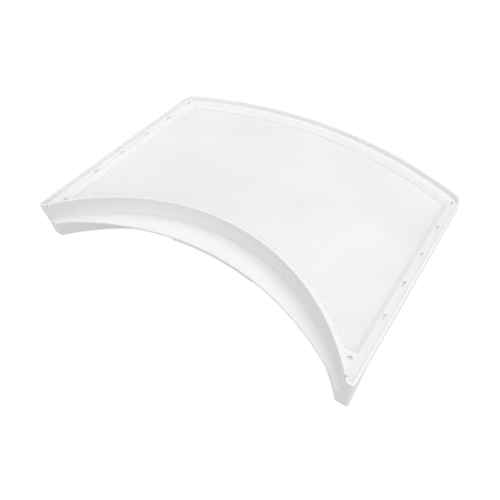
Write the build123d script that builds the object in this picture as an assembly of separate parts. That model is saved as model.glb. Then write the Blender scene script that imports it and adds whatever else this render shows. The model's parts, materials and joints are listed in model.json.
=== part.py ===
"""Dryer lint filter: a moulded frame with a hollow front edge, and the fine mesh screen that it holds.

Everything is drawn in the panel's own frame first. There X runs across the filter, Y from the toes to the
back and Z up from the panel, with zero at the toes' front line and at the top of the raised lip. At the end
the whole filter is tipped back onto the two places that it rests on.
"""
from build123d import *
from math import atan2, degrees, sqrt
import os

# Plan of the panel
WIDTH = 332.0             # across the two sides
SIDE_LENGTH = 224.1       # from the toes' front line to where the back arc meets the sides
BACK_BOW = 37.5           # how far the back arc bows out beyond the sides
BACK_CORNER = 13.0        # radius of the two back corners
FRONT_RADIUS = 201.5      # hollow front edge, which follows the round door opening
TOE_WIDTH = 5.8           # front end of each toe
TOE_CORNER = 2.5          # radius of its outer corner

# Section of the rim, from the outside in
LIP = 2.5                 # thickness of the raised lip
LIP_HEIGHT = 4.5          # lip above the strip
LIP_ROUND = 0.8           # rounding of the lip's top edges
STRIP = 7.0               # flat strip that carries the slots, on the sides and at the back
FRONT_STRIP = 3.5         # the same strip behind the front wall
BEVEL = 4.0               # slope from the strip down to the screen, seen in plan
BEVEL_DEPTH = 3.9
LAND = 0.6                # short upright edge between the bevel and the screen
FLANGE = 1.1              # plastic below the screen's edge
SKIN = 2.2                # plastic between the strip and the hollow below it
GROOVE_WALL = 2.0         # plastic between that hollow and the groove for the screen's edge
TOE_EDGE = 6.8            # straight front edge of the screen's window at each toe
WINDOW_CORNER = 1.5       # radius of the window's back corners
BEVEL_CORNER = 2.5        # radius of the bevel's upper edge there

# Front wall, finger ledge and feet
WALL = 2.2
WALL_DEPTH = 40.5         # from the lip's top to the lower edge
LEDGE_DROP = 22.0         # from the lip's top to the ledge's top
LEDGE_REACH = 24.5        # how far the ledge stands forward of the wall at the middle
LEDGE_HALF = 147.0        # the ledge ends this far from the middle
SHELF = 4.6               # step forward of the wall, a narrow shelf that runs on from the ledge to the feet
WALL_DRAFT = 1.6          # below that shelf the wall draws back this far towards its lower edge
LEDGE = 2.0               # thickness of the ledge and the shelf
LEDGE_EDGE = 0.5          # chamfer along their front edge
GRIP_HALF = 45.0          # half the width of the deeper lip that the fingers pull on
GRIP = 2.0                # its thickness
GRIP_DEPTH = 2.0          # below the ledge
FOOT_LEAN = 2.5           # the feet's lower edge stands back this far from the toes' front line
FOOT_DRAFT = 0.5          # the feet's outer sides draw in this far towards their lower edge
FOOT_CORNER = 2.0         # rounding of each foot's lower outer corner
FOOT_BASE = 5.0           # length of the foot's side along its lower edge
FOOT_RUN_OUT = 1.0        # the foot's side fades into the rim this far ahead of the rib behind the toe's hollow

# Small features of the strip and the lip
SLOT_WIDTH = 1.8
SLOT_LENGTH = 5.5
SLOT_DEPTH = 1.0
SLOT_COUNT = 5            # on each side
SLOT_INSET = 7.0          # from the side to the middle of each slot
SLOT_FIRST = 66.6         # first slot behind the toes' front line
SLOT_LAST = 7.5           # last slot ahead of the sides' back ends
DIMPLE = 4.0              # diameter of the round dimple in each toe
DIMPLE_DEPTH = 1.6
DIMPLE_INSET = 13.0       # from the side to its middle
DIMPLE_BACK = 6.0         # from its middle to the bevel behind it
NOTCH = 1.8               # short gap in the lip's front edge at each toe
NOTCH_Y = 4.6             # its middle behind the toes' front line

# Screen
MESH = 0.4                # thickness of the woven sheet
MESH_GRIP = 2.5           # how far its edge runs into the frame

# Places that follow from the sizes above
HALF = WIDTH / 2
FRONT_CENTRE_Y = -sqrt(FRONT_RADIUS**2 - (HALF - TOE_WIDTH)**2)
FRONT_CROWN_Y = FRONT_CENTRE_Y + FRONT_RADIUS
BACK_RADIUS = (HALF**2 + BACK_BOW**2) / (2 * BACK_BOW)
BACK_CROWN_Y = SIDE_LENGTH + BACK_BOW
BACK_CENTRE_Y = BACK_CROWN_Y - BACK_RADIUS
LEDGE_CROWN_Y = FRONT_CROWN_Y - LEDGE_REACH
SHELF_RADIUS = FRONT_RADIUS - SHELF
LOW_RADIUS = SHELF_RADIUS + WALL_DRAFT
SHELF_X = sqrt(SHELF_RADIUS**2 - FRONT_CENTRE_Y**2)
LEDGE_END_Y = FRONT_CENTRE_Y + sqrt(SHELF_RADIUS**2 - LEDGE_HALF**2)
LEDGE_BOW = LEDGE_CROWN_Y - LEDGE_END_Y
LEDGE_RADIUS = (LEDGE_HALF**2 + LEDGE_BOW**2) / (2 * LEDGE_BOW)
LEDGE_CENTRE_Y = LEDGE_CROWN_Y - LEDGE_RADIUS

STRIP_TOP = -LIP_HEIGHT
STRIP_BOTTOM = STRIP_TOP - SKIN
BEVEL_FOOT = STRIP_TOP - BEVEL_DEPTH
MESH_TOP = BEVEL_FOOT - LAND
MESH_BOTTOM = MESH_TOP - MESH
RIM_BOTTOM = MESH_BOTTOM - FLANGE
LEDGE_BOTTOM = -LEDGE_DROP - LEDGE

STRIP_INNER = LIP + STRIP
STRIP_INNER_FRONT = WALL + FRONT_STRIP
WINDOW = STRIP_INNER + BEVEL
WINDOW_FRONT = STRIP_INNER_FRONT + BEVEL
TRAY_CORNER = BACK_CORNER - LIP
WEB = MESH_GRIP + GROOVE_WALL
TOE_DEPTH = FRONT_CENTRE_Y + sqrt((FRONT_RADIUS + WINDOW_FRONT)**2 - (HALF - WINDOW - TOE_EDGE)**2)
FOOT_END = TOE_DEPTH - WEB - FOOT_RUN_OUT
FOOT_TOP_X = HALF - FOOT_DRAFT * LIP_HEIGHT / WALL_DEPTH
FOOT_TOP_Y = FOOT_LEAN * LIP_HEIGHT / WALL_DEPTH
DIMPLE_Y = TOE_DEPTH - BEVEL - DIMPLE_BACK
SLOT_PITCH = (SIDE_LENGTH - SLOT_LAST - SLOT_FIRST) / (SLOT_COUNT - 1)
NOTCH_X = sqrt((FRONT_RADIUS + WALL / 2)**2 - (NOTCH_Y - FRONT_CENTRE_Y)**2)
NOTCH_TURN = degrees(atan2(NOTCH_Y - FRONT_CENTRE_Y, NOTCH_X))


def outline(side, front, toe, corner):
    """Plan face set in by side from the sides and back, by front from the front arc, and by toe at the toes."""
    x = HALF - side
    front_radius = FRONT_RADIUS + front
    back_radius = BACK_RADIUS - side
    front_x = sqrt(front_radius**2 - (toe - FRONT_CENTRE_Y)**2)
    back_y = BACK_CENTRE_Y + sqrt(back_radius**2 - x**2)
    edges = [
        ThreePointArc((front_x, toe), (0, FRONT_CENTRE_Y + front_radius), (-front_x, toe)),
        Line((-front_x, toe), (-x, toe)),
        Line((-x, toe), (-x, back_y)),
        ThreePointArc((-x, back_y), (0, BACK_CENTRE_Y + back_radius), (x, back_y)),
        Line((x, back_y), (x, toe)),
        Line((x, toe), (front_x, toe)),
    ]
    face = make_face(edges)
    back_corners = face.vertices().sort_by(Axis.Y)[-2:]
    return fillet(back_corners, corner)


def arc_band(inner_radius, outer_radius, centre_y, half):
    """Plan face between two arcs about (0, centre_y), cut off square at half the width on each side."""
    inner_y = centre_y + sqrt(inner_radius**2 - half**2)
    outer_y = centre_y + sqrt(outer_radius**2 - half**2)
    return make_face([
        ThreePointArc((-half, inner_y), (0, centre_y + inner_radius), (half, inner_y)),
        Line((half, inner_y), (half, outer_y)),
        ThreePointArc((half, outer_y), (0, centre_y + outer_radius), (-half, outer_y)),
        Line((-half, outer_y), (-half, inner_y)),
    ])


def between(face, low, high):
    """The plan face as a solid from one height to another."""
    return extrude(Pos(0, 0, low) * face, high - low)


def across(points, left, right):
    """A side view, given as (y, z) points, as a solid from one X to another."""
    face = make_face(Polyline(*[(left, y, z) for y, z in points], close=True))
    return extrude(face, right - left, dir=(1, 0, 0))


def along(face, back):
    """A front view, drawn at the toes' front line, as a solid back to that Y."""
    return extrude(face, back, dir=(0, 1, 0))


def ring(section):
    """A section, given as (radius, z) points, turned about the middle of the hollow front edge."""
    points = [(radius, FRONT_CENTRE_Y, z) for radius, z in section]
    return revolve(make_face(Polyline(*points, close=True)), Axis((0, FRONT_CENTRE_Y, 0), (0, 0, 1)))


def both_sides(solid):
    """The solid and its mirror image on the other side of the filter."""
    return [solid, mirror(solid, Plane.YZ)]


def rim():
    """Lip, strip and bevel round the screen's window."""
    plan = outline(0, 0, 0, BACK_CORNER)
    toe_points = plan.vertices().sort_by(Axis.Y)[:4].sort_by(Axis.X)
    plan = fillet([toe_points[0], toe_points[-1]], TOE_CORNER)
    block = between(plan, RIM_BOTTOM, 0)
    tray = between(outline(LIP, WALL, LIP, TRAY_CORNER), STRIP_TOP, 0)
    body = block - tray
    body = fillet(body.edges().group_by(Axis.Z)[-1], LIP_ROUND)
    window_top = outline(STRIP_INNER, STRIP_INNER_FRONT, TOE_DEPTH - BEVEL, BEVEL_CORNER)
    window = outline(WINDOW, WINDOW_FRONT, TOE_DEPTH, WINDOW_CORNER)
    bevel = loft([Pos(0, 0, STRIP_TOP) * window_top, Pos(0, 0, BEVEL_FOOT) * window], ruled=True)
    return body - bevel - between(window, RIM_BOTTOM, BEVEL_FOOT)


def hollows():
    """Hollows under the strip and the toes, which leave walls of even thickness."""
    outer_face = outline(LIP, WINDOW_FRONT, TOE_DEPTH, TRAY_CORNER)
    inner_face = outline(WINDOW - WEB, STRIP_INNER_FRONT, TOE_DEPTH - WEB, WINDOW_CORNER + WEB)
    channel = between(outer_face - inner_face, RIM_BOTTOM, STRIP_BOTTOM)
    toe_tray = between(outline(LIP, WALL, LIP, TRAY_CORNER), RIM_BOTTOM, STRIP_BOTTOM)
    toe_end = TOE_DEPTH - WEB
    side_view = [(0, RIM_BOTTOM), (toe_end, RIM_BOTTOM), (toe_end, STRIP_BOTTOM), (0, STRIP_BOTTOM)]
    toe_zone = across(side_view, -HALF, HALF)
    return [channel, toe_tray & toe_zone]


def openings():
    """Shallow slots in both side strips, a round dimple in each toe and a notch in the lip beside it."""
    slot_z = STRIP_TOP - SLOT_DEPTH / 2
    cuts = []
    for number in range(SLOT_COUNT):
        slot_y = SLOT_FIRST + number * SLOT_PITCH
        slot = Pos(HALF - SLOT_INSET, slot_y, slot_z) * Box(SLOT_WIDTH, SLOT_LENGTH, SLOT_DEPTH)
        cuts += both_sides(slot)
    dimple_z = STRIP_TOP - DIMPLE_DEPTH / 2
    dimple = Pos(HALF - DIMPLE_INSET, DIMPLE_Y, dimple_z) * Cylinder(DIMPLE / 2, DIMPLE_DEPTH)
    notch = Pos(NOTCH_X, NOTCH_Y, STRIP_TOP / 2) * Rot(Z=NOTCH_TURN) * Box(2 * WALL, NOTCH, LIP_HEIGHT)
    return cuts + both_sides(dimple) + both_sides(notch)


def ledge_arc(radius, centre_y):
    """Left end, middle and right end of an arc across the ledge."""
    end_y = centre_y + sqrt(radius**2 - LEDGE_HALF**2)
    return [(-LEDGE_HALF, end_y), (0, centre_y + radius), (LEDGE_HALF, end_y)]


def front_wall():
    """Deep wall below the hollow edge, stepped forward at the shelf, with its crescent ledge and grip lip."""
    low = -WALL_DEPTH
    back_radius = FRONT_RADIUS + WALL
    steps = ring([
        (FRONT_RADIUS, STRIP_TOP), (FRONT_RADIUS, -LEDGE_DROP), (SHELF_RADIUS + LEDGE_EDGE, -LEDGE_DROP),
        (SHELF_RADIUS, -LEDGE_DROP - LEDGE_EDGE), (SHELF_RADIUS, LEDGE_BOTTOM), (LOW_RADIUS, low),
        (LOW_RADIUS + WALL, low), (SHELF_RADIUS + WALL, LEDGE_BOTTOM), (back_radius, LEDGE_BOTTOM),
        (back_radius, STRIP_TOP)])
    behind = FRONT_CROWN_Y + WALL
    behind_toes = across(
        [(FOOT_TOP_Y, STRIP_TOP), (FOOT_LEAN, low), (behind, low), (behind, STRIP_TOP)], LIP - HALF, HALF - LIP)
    front = ledge_arc(LEDGE_RADIUS, LEDGE_CENTRE_Y)
    back = ledge_arc(FRONT_RADIUS + WALL / 2, FRONT_CENTRE_Y)
    crescent = make_face([
        ThreePointArc(*front), Line(front[2], back[2]), ThreePointArc(*back), Line(back[0], front[0])])
    ledge = between(crescent, LEDGE_BOTTOM, -LEDGE_DROP)
    top_arcs = ledge.edges().filter_by(GeomType.CIRCLE).group_by(Axis.Z)[-1]
    ledge = chamfer(top_arcs.sort_by(Axis.Y)[0], LEDGE_EDGE)
    grip_face = arc_band(LEDGE_RADIUS, LEDGE_RADIUS + GRIP, LEDGE_CENTRE_Y, GRIP_HALF)
    grip = between(grip_face, LEDGE_BOTTOM - GRIP_DEPTH, LEDGE_BOTTOM)
    return (steps & behind_toes) + ledge + grip


def foot():
    """Right-hand foot: a leaning front end as deep as the wall, and a side that fades into the rim."""
    low = -WALL_DEPTH
    low_x = HALF - FOOT_DRAFT
    inner_x = SHELF_X - FOOT_LEAN
    front_view = make_face(Polyline(
        (inner_x, 0, STRIP_TOP), (inner_x, 0, low), (low_x, 0, low), (FOOT_TOP_X, 0, STRIP_TOP), close=True))
    outer_corner = front_view.vertices().group_by(Axis.Z)[0].sort_by(Axis.X)[-1]
    front_view = fillet(outer_corner, FOOT_CORNER)
    side_front_view = make_face(Polyline(
        (FOOT_TOP_X - LIP, 0, STRIP_TOP), (low_x - LIP, 0, low), (low_x, 0, low),
        (FOOT_TOP_X, 0, STRIP_TOP), close=True))
    front = across(
        [(FOOT_TOP_Y, STRIP_TOP), (FOOT_LEAN, low), (FOOT_LEAN + WALL, low), (WALL, STRIP_TOP)], inner_x, HALF)
    side = across(
        [(FOOT_TOP_Y, STRIP_TOP), (FOOT_LEAN, low), (FOOT_LEAN + FOOT_BASE, low), (FOOT_END, RIM_BOTTOM),
         (FOOT_END, STRIP_BOTTOM), (WALL, STRIP_BOTTOM)], inner_x, HALF)
    side &= along(side_front_view, FOOT_END)
    door = ring([
        (0, 0), (FRONT_RADIUS, 0), (FRONT_RADIUS, -LEDGE_DROP), (SHELF_RADIUS + LEDGE_EDGE, -LEDGE_DROP),
        (SHELF_RADIUS, -LEDGE_DROP - LEDGE_EDGE), (SHELF_RADIUS, LEDGE_BOTTOM), (LOW_RADIUS, low), (0, low)])
    x, y = FOOT_TOP_X, FOOT_TOP_Y
    corner = make_face([
        Line((x, y), (x, y + TOE_CORNER)),
        RadiusArc((x, y + TOE_CORNER), (x - TOE_CORNER, y), TOE_CORNER),
        Line((x - TOE_CORNER, y), (x, y))])
    slant = Vector(low_x - x, FOOT_LEAN - y, low - STRIP_TOP)
    corner = extrude(Pos(0, 0, STRIP_TOP) * corner, slant.length, dir=slant)
    return ((front + side) & along(front_view, FOOT_END)) - door - corner


def screen():
    """Flat woven screen, with its edge in the frame's groove."""
    grip = MESH_GRIP
    face = outline(WINDOW - grip, WINDOW_FRONT - grip, TOE_DEPTH - grip, WINDOW_CORNER + grip)
    return between(face, MESH_BOTTOM, MESH_TOP)


def frame():
    """The whole moulding."""
    body = rim() - hollows() - openings()
    body += front_wall()
    body += both_sides(foot())
    return body - screen()


def at_rest(solids):
    """The solids tipped back onto the wall's lower edge and the back rim, centred over zero."""
    tip = atan2(RIM_BOTTOM + WALL_DEPTH, BACK_CROWN_Y - FRONT_CENTRE_Y - LOW_RADIUS - WALL)
    tipped = [Rot(X=-degrees(tip)) * solid for solid in solids]
    box = tipped[0].bounding_box()
    down = Pos(0, -box.center().Y, -box.min.Z)
    return [down * solid for solid in tipped]


frame_solid, screen_solid = at_rest([frame(), screen()])
os.makedirs("parts", exist_ok=True)
export_step(frame_solid, "parts/frame.step")
export_step(screen_solid, "parts/mesh_screen.step")
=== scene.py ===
"""Looks of the dryer lint filter: a white moulded frame and a stretched woven screen, on a white floor.

Lengths are in millimetres in the panel's own frame until panel_point() carries them into the row frame in
metres. In the panel's frame X runs across the filter, Y from the toes to the back and Z up from the panel,
with zero in the middle, at the toes' front line and at the top of the raised lip.
"""
import json
import math

import bpy
from mathutils import Matrix, Vector, noise


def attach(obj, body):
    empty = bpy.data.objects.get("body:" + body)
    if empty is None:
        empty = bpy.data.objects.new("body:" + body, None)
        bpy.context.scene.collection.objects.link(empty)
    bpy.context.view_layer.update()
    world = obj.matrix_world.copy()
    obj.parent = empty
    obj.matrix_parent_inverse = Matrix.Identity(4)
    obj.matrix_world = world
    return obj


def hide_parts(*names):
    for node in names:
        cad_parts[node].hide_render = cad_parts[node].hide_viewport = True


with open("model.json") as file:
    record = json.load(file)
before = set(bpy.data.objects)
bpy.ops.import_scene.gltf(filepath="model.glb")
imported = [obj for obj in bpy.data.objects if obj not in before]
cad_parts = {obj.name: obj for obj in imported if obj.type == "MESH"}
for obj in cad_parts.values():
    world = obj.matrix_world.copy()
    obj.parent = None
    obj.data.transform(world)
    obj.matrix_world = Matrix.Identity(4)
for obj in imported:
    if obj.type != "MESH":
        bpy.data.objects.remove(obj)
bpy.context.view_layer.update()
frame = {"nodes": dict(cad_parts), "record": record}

MM = 0.001

# Panel sizes that the screen shares with the solids, in millimetres
HALF = 166.0
FRONT_RADIUS = 201.5
FRONT_CENTRE_Y = -122.22
BACK_RADIUS = 386.16
BACK_CENTRE_Y = -124.56
SEAT = Vector((0.0, 250.35, -10.5))   # middle of the rim's underside at the back

# Woven screen
SCREEN_INSET = 11.2        # its edge from the sides and the back, inside the frame's groove
SCREEN_FRONT_INSET = 7.4   # and from the front arc
SCREEN_TOE_Y = 28.35
SCREEN_CORNER = 3.8
SCREEN_MIDDLE_Z = -9.2
SCREEN_THICKNESS = 0.34
SCREEN_SAG = 0.5           # it hangs this far below its edge in the middle
SCREEN_RIPPLE = 0.18
RIPPLE_LENGTH = 60.0
RIPPLE_LAYER = 3.0         # which slice of the noise the ripple takes
SCREEN_COLUMNS = 150
SCREEN_ROWS = 96
THREAD_PITCH = 0.55
THREAD_UNDER = 0.6         # height of a thread where it dips under another, as a share of its crown
THREAD_RISE = 0.4

# Camera, found from the outline of the filter
CAMERA_EYE = Vector((194.3, -152.1, 308.0))
CAMERA_AZIMUTH = 36.34
CAMERA_ELEVATION = 49.12
CAMERA_ROLL = -2.23
FOCAL_PIXELS = 475.1
IMAGE_PIXELS = 500
SENSOR = 36.0

# Light and floor: each lamp's name, place and size in metres, and power in watts
LAMP_TARGET = Vector((0, 0, 0.03))
LAMPS = (
    ("overhead", (0.15, 0.4, 1.3), 1.0, 8.0),
    ("right", (1.2, -0.15, 0.55), 0.8, 4.0),
    ("left", (-0.8, 0.0, 1.0), 0.8, 1.0),
    ("front", (-0.15, -0.9, 0.4), 0.6, 1.6),
)
SURROUND = 0.50            # strength of the pale surround
FLOOR_GREY = 0.45          # light that the floor sends back
FLOOR_GLOW = 0.8           # added where the floor is seen, so that it looks white
FLOOR_HALF = 20.0


def panel_axes():
    """Origin and axes of the panel in the row frame, from the rim's flat underside."""
    mounts = {mount["name"]: mount for mount in frame["record"]["mounts"]}
    seat = mounts["rim_underside"]
    normal = -Vector(seat["axis"]).normalized()
    across = Vector((1, 0, 0))
    back = normal.cross(across).normalized()
    turn = Matrix((across, back, normal)).transposed()
    return Vector(seat["pos_m"]) - turn @ (SEAT * MM), turn


PANEL_ORIGIN, PANEL_TURN = panel_axes()


def panel_point(point):
    """A point of the panel's frame, in millimetres, in the row frame in metres."""
    return PANEL_ORIGIN + PANEL_TURN @ (Vector(point) * MM)


def add_camera():
    """The camera where the photograph was taken from."""
    azimuth, elevation, roll = map(math.radians, (CAMERA_AZIMUTH, CAMERA_ELEVATION, CAMERA_ROLL))
    level = Vector((math.cos(azimuth), math.sin(azimuth), 0))
    outward = Vector((math.sin(azimuth), -math.cos(azimuth), 0))
    back = outward * math.cos(elevation) + Vector((0, 0, math.sin(elevation)))
    upright = back.cross(level)
    right = level * math.cos(roll) + upright * math.sin(roll)
    up = upright * math.cos(roll) - level * math.sin(roll)
    turn = PANEL_TURN @ Matrix((right, up, back)).transposed()
    data = bpy.data.cameras.new("camera")
    data.sensor_width = SENSOR
    data.lens = SENSOR * FOCAL_PIXELS / IMAGE_PIXELS
    data.clip_start = 0.01
    camera = bpy.data.objects.new("camera", data)
    camera.matrix_world = Matrix.Translation(panel_point(CAMERA_EYE)) @ turn.to_4x4()
    bpy.context.scene.collection.objects.link(camera)
    bpy.context.scene.camera = camera


def new_material(name):
    """A new node material with its nodes and links."""
    material = bpy.data.materials.new(name)
    material.use_nodes = True
    return material, material.node_tree.nodes, material.node_tree.links


def math_node(nodes, links, operation, *values):
    """A math node whose inputs are numbers or sockets."""
    node = nodes.new("ShaderNodeMath")
    node.operation = operation
    for socket, value in zip(node.inputs, values):
        if isinstance(value, (int, float)):
            socket.default_value = value
        else:
            links.new(value, socket)
    return node.outputs[0]


def noise_node(nodes, links, vector, scale, detail):
    """A noise pattern of that fineness."""
    node = nodes.new("ShaderNodeTexNoise")
    node.inputs["Scale"].default_value = scale
    node.inputs["Detail"].default_value = detail
    links.new(vector, node.inputs["Vector"])
    return node.outputs["Fac"]


def two_tones(nodes, links, value, start, end):
    """A colour that runs between two tones, each given as a position and a colour."""
    node = nodes.new("ShaderNodeValToRGB")
    for element, (position, colour) in zip(node.color_ramp.elements, (start, end)):
        element.position = position
        element.color = (*colour, 1)
    links.new(value, node.inputs["Fac"])
    return node.outputs["Color"]


def multiplied(nodes, links, first, second):
    """The product of two colours, whose sockets are the node's inputs 6 and 7 and output 2."""
    node = nodes.new("ShaderNodeMix")
    node.data_type = "RGBA"
    node.blend_type = "MULTIPLY"
    node.inputs["Factor"].default_value = 1.0
    links.new(first, node.inputs[6])
    links.new(second, node.inputs[7])
    return node.outputs[2]


def bump_node(nodes, links, height, strength):
    """A bump node for a relief of a fifth of a millimetre."""
    node = nodes.new("ShaderNodeBump")
    node.inputs["Strength"].default_value = strength
    node.inputs["Distance"].default_value = 0.2 * MM
    links.new(height, node.inputs["Height"])
    return node


def plastic():
    """White moulded plastic.

    It has a faint cloudiness, a fine matt grain, a soft gloss and painted shade that darkens its small
    recesses.
    """
    material, nodes, links = new_material("white_plastic")
    shader = nodes["Principled BSDF"]
    shader.inputs["Specular IOR Level"].default_value = 0.4
    place = nodes.new("ShaderNodeTexCoord").outputs["Object"]
    cloud = noise_node(nodes, links, place, scale=14.0, detail=3.0)
    tint = two_tones(nodes, links, cloud, (0.0, (0.849, 0.852, 0.857)), (1.0, (0.879, 0.881, 0.883)))
    # Painted shade: the colour is darkened wherever ambient occlusion finds a small recess, such as the
    # slots, the dimple and inner corners.
    recess = nodes.new("ShaderNodeAmbientOcclusion")
    recess.samples = 12
    recess.only_local = True
    recess.inputs["Distance"].default_value = 3.0 * MM
    painted_recess_shade = two_tones(nodes, links, recess.outputs["AO"], (0.30, (0.84, 0.84, 0.84)), (0.58, (1, 1, 1)))
    links.new(multiplied(nodes, links, tint, painted_recess_shade), shader.inputs["Base Color"])
    gloss = nodes.new("ShaderNodeMapRange")
    gloss.inputs["To Min"].default_value = 0.38
    gloss.inputs["To Max"].default_value = 0.50
    links.new(cloud, gloss.inputs["Value"])
    links.new(gloss.outputs["Result"], shader.inputs["Roughness"])
    soft_edge = nodes.new("ShaderNodeBevel")
    soft_edge.samples = 6
    soft_edge.inputs["Radius"].default_value = 0.4 * MM
    grain = noise_node(nodes, links, place, scale=1800.0, detail=2.0)
    bump = bump_node(nodes, links, grain, strength=0.12)
    links.new(soft_edge.outputs["Normal"], bump.inputs["Normal"])
    links.new(bump.outputs["Normal"], shader.inputs["Normal"])
    return material


def weave_height(nodes, links):
    """Height of a plain weave, whose threads pass over and under each other in turn."""
    def step(operation, *values):
        return math_node(nodes, links, operation, *values)

    place = nodes.new("ShaderNodeUVMap")
    place.uv_map = "threads"
    split = nodes.new("ShaderNodeSeparateXYZ")
    links.new(place.outputs["UV"], split.inputs["Vector"])
    x, y = split.outputs["X"], split.outputs["Y"]
    warp = step("ABSOLUTE", step("SINE", step("MULTIPLY", x, math.pi)))
    weft = step("ABSOLUTE", step("SINE", step("MULTIPLY", y, math.pi)))
    parity = step("MODULO", step("ADD", step("FLOOR", x), step("FLOOR", y)), 2.0)
    over = step("ABSOLUTE", parity)
    under = step("SUBTRACT", 1.0, over)
    warp_height = step("MULTIPLY", warp, step("ADD", THREAD_UNDER, step("MULTIPLY", over, THREAD_RISE)))
    weft_height = step("MULTIPLY", weft, step("ADD", THREAD_UNDER, step("MULTIPLY", under, THREAD_RISE)))
    return step("MAXIMUM", warp_height, weft_height)


def woven():
    """Plain weave of fine white threads, with painted shade in the small openings and dips between them,
    and faint patches.
    """
    material, nodes, links = new_material("woven_mesh")
    shader = nodes["Principled BSDF"]
    shader.inputs["Roughness"].default_value = 0.75
    shader.inputs["Specular IOR Level"].default_value = 0.25
    shader.inputs["Sheen Weight"].default_value = 0.15
    height = weave_height(nodes, links)
    # Painted shade: the colour darkens where the threads dip and in the openings between them, where a
    # real mesh shows the shadow beneath.
    shade = two_tones(nodes, links, height, (0.1, (0.62, 0.62, 0.62)), (0.5, (0.915, 0.915, 0.913)))
    place = nodes.new("ShaderNodeTexCoord").outputs["Object"]
    cloud = noise_node(nodes, links, place, scale=16.0, detail=2.0)
    patches = two_tones(nodes, links, cloud, (0.32, (0.945, 0.945, 0.944)), (0.68, (1, 1, 1)))
    links.new(multiplied(nodes, links, shade, patches), shader.inputs["Base Color"])
    bump = bump_node(nodes, links, height, strength=0.35)
    links.new(bump.outputs["Normal"], shader.inputs["Normal"])
    return material


def screen_front_y(x):
    """Front edge of the screen at that X."""
    radius = FRONT_RADIUS + SCREEN_FRONT_INSET
    return max(FRONT_CENTRE_Y + math.sqrt(radius**2 - x**2), SCREEN_TOE_Y)


def screen_back_y(x):
    """Back edge of the screen at that X, with its rounded corners."""
    radius = BACK_RADIUS - SCREEN_INSET
    corner_x = HALF - SCREEN_INSET - SCREEN_CORNER
    corner_y = BACK_CENTRE_Y + math.sqrt((radius - SCREEN_CORNER)**2 - corner_x**2)
    if abs(x) > corner_x * radius / (radius - SCREEN_CORNER):
        return corner_y + math.sqrt(max(SCREEN_CORNER**2 - (abs(x) - corner_x)**2, 0.0))
    return BACK_CENTRE_Y + math.sqrt(radius**2 - x**2)


def screen_height(x, y, across, along):
    """Height of the stretched cloth: a slight sag and ripple that fade at its edge."""
    hold = math.sin(math.pi * across) * math.sin(math.pi * along)
    ripple = noise.noise(Vector((x / RIPPLE_LENGTH, y / RIPPLE_LENGTH, RIPPLE_LAYER)))
    return SCREEN_MIDDLE_Z - SCREEN_SAG * hold + SCREEN_RIPPLE * ripple * math.sqrt(hold)


def screen_sheet():
    """The woven screen as one stretched sheet, and its flat area in square metres."""
    points, threads = [], []
    half = HALF - SCREEN_INSET
    area = 0.0
    for column in range(SCREEN_COLUMNS + 1):
        across = column / SCREEN_COLUMNS
        x = half * (2 * across - 1)
        front, back = screen_front_y(x), screen_back_y(x)
        weight = 0.5 if column in (0, SCREEN_COLUMNS) else 1.0   # the end columns count half
        area += weight * (back - front) * 2 * half / SCREEN_COLUMNS * MM**2
        for row in range(SCREEN_ROWS + 1):
            along = row / SCREEN_ROWS
            y = front + (back - front) * along
            points.append(panel_point((x, y, screen_height(x, y, across, along))))
            threads.append((x / THREAD_PITCH, y / THREAD_PITCH))
    stride = SCREEN_ROWS + 1
    faces = [
        (start, start + stride, start + stride + 1, start + 1)
        for column in range(SCREEN_COLUMNS)
        for start in range(column * stride, column * stride + SCREEN_ROWS)
    ]
    mesh = bpy.data.meshes.new("screen_cloth")
    mesh.from_pydata(points, [], faces)
    layer = mesh.uv_layers.new(name="threads")
    for loop in mesh.loops:
        layer.data[loop.index].uv = threads[loop.vertex_index]
    mesh.polygons.foreach_set("use_smooth", [True] * len(mesh.polygons))
    piece = bpy.data.objects.new("screen_cloth", mesh)
    bpy.context.scene.collection.objects.link(piece)
    thick = piece.modifiers.new("thickness", "SOLIDIFY")
    thick.thickness = SCREEN_THICKNESS * MM
    thick.offset = 0.0
    return piece, area


def seen_directly(nodes, links):
    """One for rays that show the backdrop, straight, in a reflection or through glass, or else zero."""
    path = nodes.new("ShaderNodeLightPath")
    seen = math_node(nodes, links, "ADD", path.outputs["Is Camera Ray"], path.outputs["Is Glossy Ray"])
    seen = math_node(nodes, links, "ADD", seen, path.outputs["Is Transmission Ray"])
    return math_node(nodes, links, "MINIMUM", seen, 1.0)


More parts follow.
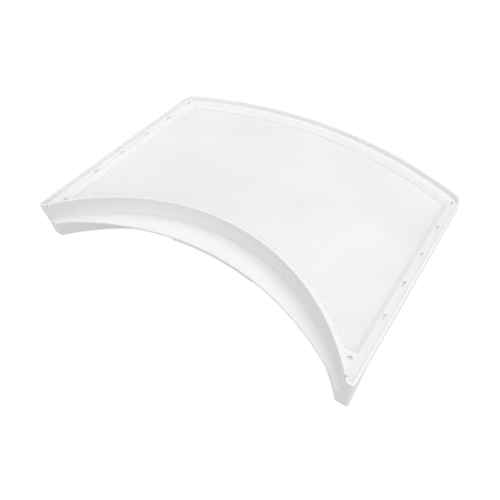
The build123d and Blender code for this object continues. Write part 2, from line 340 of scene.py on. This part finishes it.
def add_floor():
    """White floor that keeps the filter's shadow."""
    material, nodes, links = new_material("floor")
    nodes.remove(nodes["Principled BSDF"])
    output = nodes["Material Output"]
    diffuse = nodes.new("ShaderNodeBsdfDiffuse")
    diffuse.inputs["Color"].default_value = (FLOOR_GREY, FLOOR_GREY, FLOOR_GREY, 1)
    glow = nodes.new("ShaderNodeEmission")
    shown = math_node(nodes, links, "MULTIPLY", seen_directly(nodes, links), FLOOR_GLOW)
    links.new(shown, glow.inputs["Strength"])
    both = nodes.new("ShaderNodeAddShader")
    links.new(diffuse.outputs[0], both.inputs[0])
    links.new(glow.outputs[0], both.inputs[1])
    links.new(both.outputs[0], output.inputs["Surface"])
    mesh = bpy.data.meshes.new("floor")
    corners = [(x * FLOOR_HALF, y * FLOOR_HALF, 0) for x, y in ((-1, -1), (1, -1), (1, 1), (-1, 1))]
    mesh.from_pydata(corners, [], [(0, 1, 2, 3)])
    mesh.materials.append(material)
    floor = bpy.data.objects.new("floor", mesh)
    bpy.context.scene.collection.objects.link(floor)


def add_lamp(name, place, size, power):
    """A square soft lamp that faces the filter."""
    data = bpy.data.lights.new(name, "AREA")
    data.shape = "SQUARE"
    data.size = size
    data.energy = power
    lamp = bpy.data.objects.new(name, data)
    lamp.location = place
    lamp.rotation_euler = (LAMP_TARGET - Vector(place)).to_track_quat("-Z", "Y").to_euler()
    bpy.context.scene.collection.objects.link(lamp)


def add_light():
    """Soft lamps and a pale surround, which is seen as white."""
    world = bpy.data.worlds.new("surround")
    bpy.context.scene.world = world
    world.use_nodes = True
    nodes, links = world.node_tree.nodes, world.node_tree.links
    background = nodes["Background"]
    background.inputs["Color"].default_value = (1, 1, 1, 1)
    lit = math_node(nodes, links, "MULTIPLY", seen_directly(nodes, links), 1.0 - SURROUND)
    links.new(math_node(nodes, links, "ADD", lit, SURROUND), background.inputs["Strength"])
    for name, place, size, power in LAMPS:
        add_lamp(name, place, size, power)


scene = bpy.context.scene
scene.view_settings.view_transform = "Standard"
add_camera()
frame["nodes"]["frame"].data.materials.clear()
frame["nodes"]["frame"].data.materials.append(plastic())
cloth, cloth_area = screen_sheet()
cloth.data.materials.append(woven())
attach(cloth, "root")
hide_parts("mesh_screen")
add_floor()
add_light()
